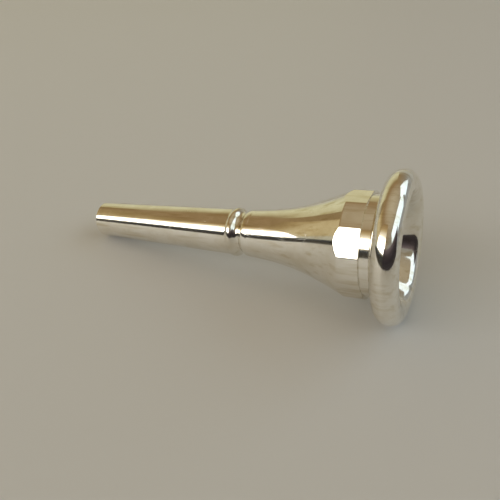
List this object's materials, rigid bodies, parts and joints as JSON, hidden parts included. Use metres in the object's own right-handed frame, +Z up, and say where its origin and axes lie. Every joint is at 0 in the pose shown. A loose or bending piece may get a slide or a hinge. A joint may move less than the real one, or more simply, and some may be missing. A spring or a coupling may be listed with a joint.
{
  "type": "french horn mouthpiece",
  "caption": "Horn mouthpiece lying on its side: tapered shank, beaded waist, flared cup with wrench flats, rounded rim.",
  "frame": {"origin": "on the ground under the middle of the object's box", "axes": "+X towards the rim, +Z up; the mouthpiece's own axis lies in the XZ plane and rises 8.54 degrees towards the rim"},
  "size_m": [0.0656, 0.0258, 0.0254],
  "materials": {
    "stem_silver": "polished silver plate on turned brass",
    "cup_silver": "polished silver plate on turned brass",
    "rim_silver": "polished silver plate on turned brass",
    "rim_seal_rubber": "moulded nitrile rubber",
    "stem_seal_rubber": "moulded nitrile rubber"
  },
  "bodies": {
    "cup": {"cup": "cup_silver"},
    "rim_seal": {"rim_seal": "rim_seal_rubber"},
    "rim": {"rim": "rim_silver"},
    "stem_seal": {"stem_seal": "stem_seal_rubber"},
    "stem": {"stem": "stem_silver"}
  },
  "joints": [
    {"name": "rim_travel", "type": "slide", "parent": "cup", "child": "rim_seal", "axis": [0.9889, 0, 0.1486], "range_m": [0, 0.00376]},
    {"name": "rim_turn", "type": "hinge", "parent": "rim_seal", "child": "rim", "pos_m": [0.02641, 0, 0.01218], "axis": [0.9889, 0, 0.1486], "range_deg": [0, 1800]},
    {"name": "stem_travel", "type": "slide", "parent": "cup", "child": "stem_seal", "axis": [-0.9889, 0, -0.1486], "range_m": [0, 0.00376]},
    {"name": "stem_turn", "type": "hinge", "parent": "stem_seal", "child": "stem", "pos_m": [0.00151, 0, 0.00844], "axis": [-0.9889, 0, -0.1486], "range_deg": [0, 1800]}
  ],
  "couplings": [
    {"joint": "rim_travel", "follows": "rim_turn", "m_per_rad": 0.00011937},
    {"joint": "stem_travel", "follows": "stem_turn", "m_per_rad": 0.00011937}
  ]
}
